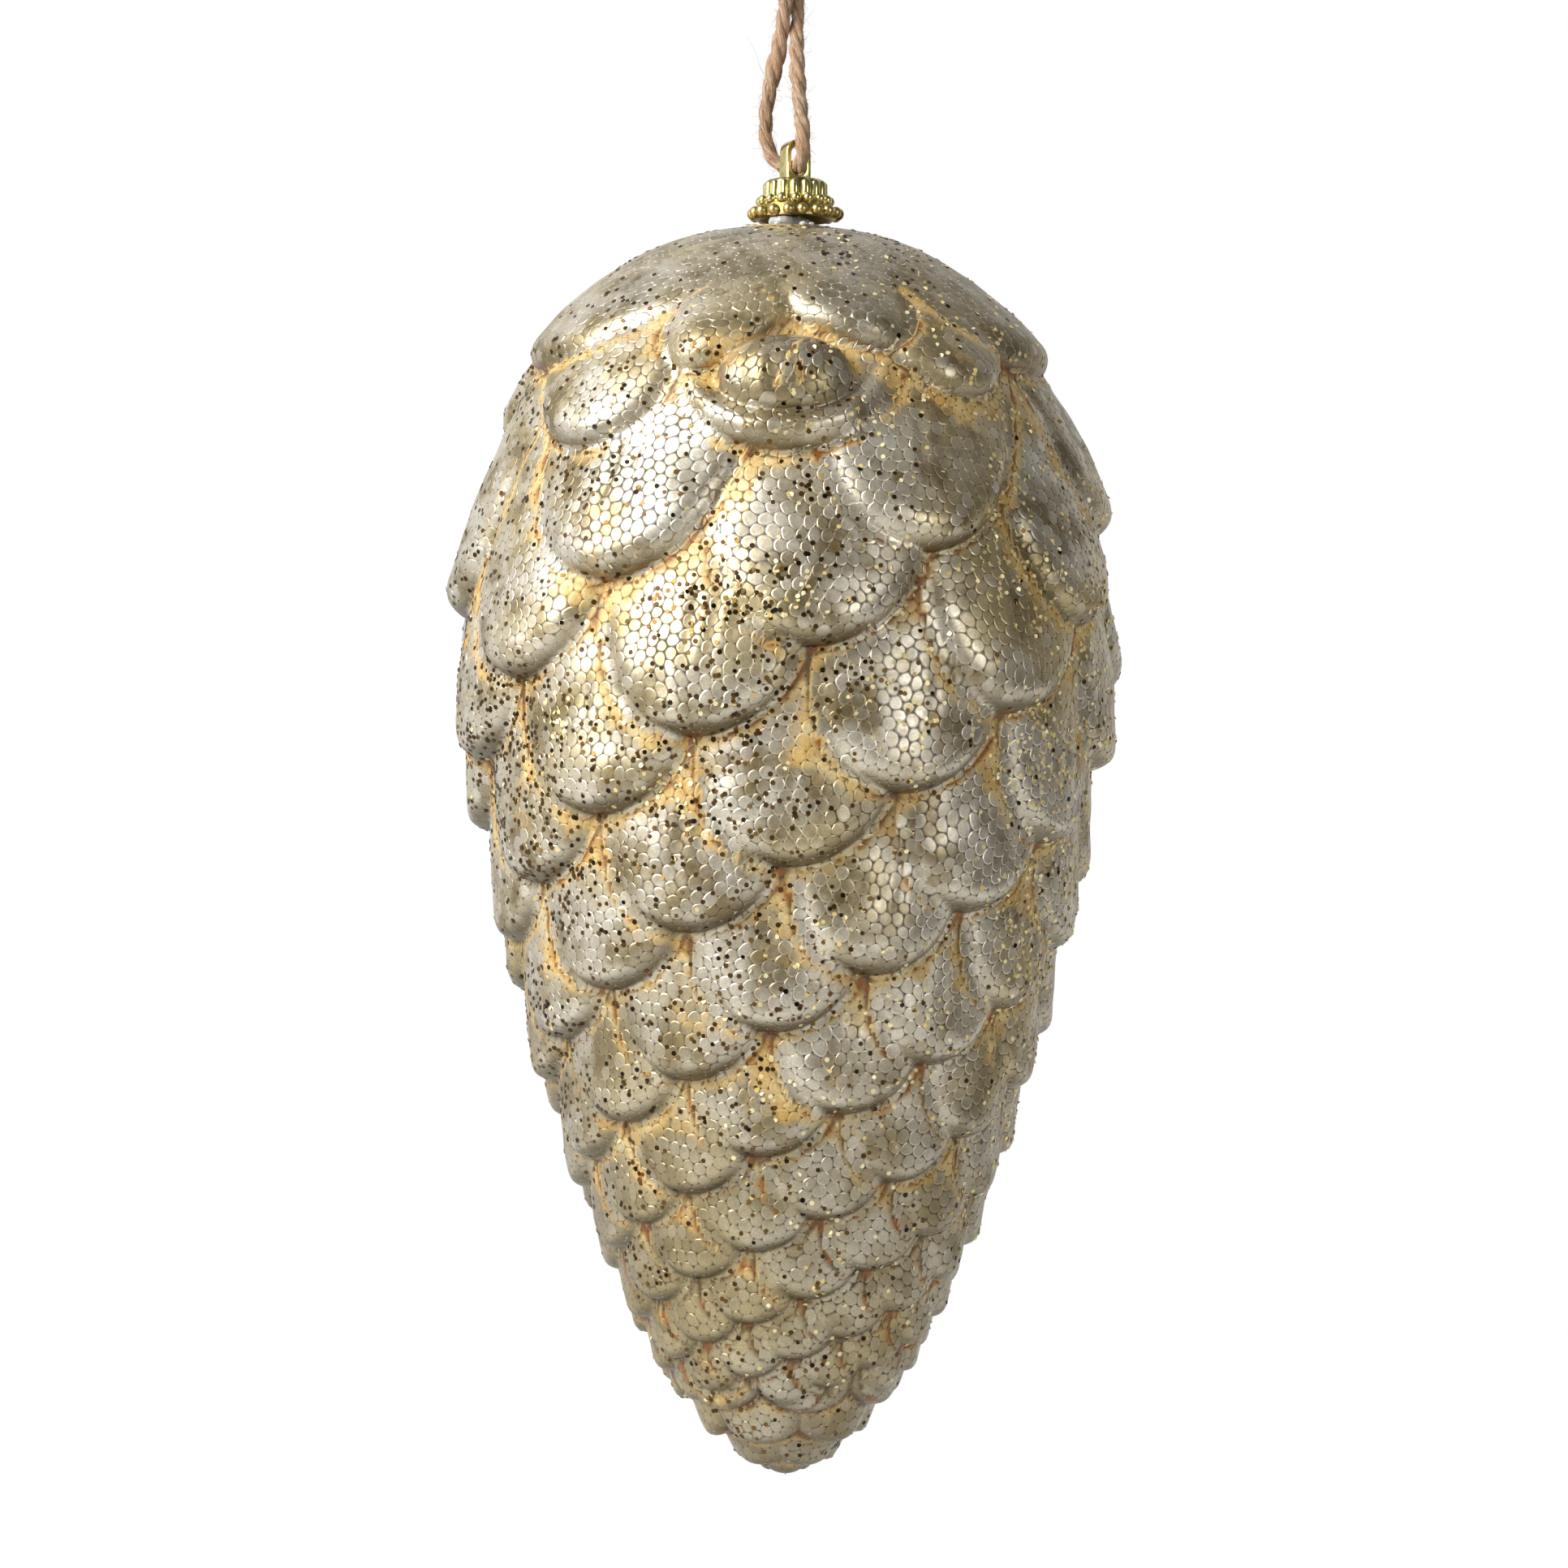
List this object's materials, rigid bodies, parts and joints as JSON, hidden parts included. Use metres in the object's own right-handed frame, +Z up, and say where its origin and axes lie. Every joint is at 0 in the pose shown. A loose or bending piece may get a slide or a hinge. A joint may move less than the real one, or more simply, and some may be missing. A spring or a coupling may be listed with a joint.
{
  "type": "hanging pine cone ornament",
  "caption": "Moulded foam pine cone ornament with metallic paint and glitter, gilt plastic cap set in hot glue, and a knotted jute twine hanging loop.",
  "frame": {"origin": "inside of the top of the twine loop, where the ornament hangs", "axes": "+Z up along the hanging line; the front, with the round knob under the cap, faces -Y"},
  "size_m": [0.1377, 0.1372, 0.343],
  "materials": {
    "painted_foam": "expanded foam beads under brushed champagne metallic paint, cream and ochre wash in the creases, dark and gold glitter",
    "gilt_cap": "bright gold metallised plastic",
    "hot_glue": "whitish translucent hot melt glue",
    "jute_twine": "three-ply tan jute with loose fibres"
  },
  "bodies": {
    "root": {"cone_body": "painted_foam", "cap": "gilt_cap", "glue_bead": "hot_glue", "twine_strands": "jute_twine", "twine_knot": "jute_twine", "twine_loop": "jute_twine"}
  },
  "joints": []
}
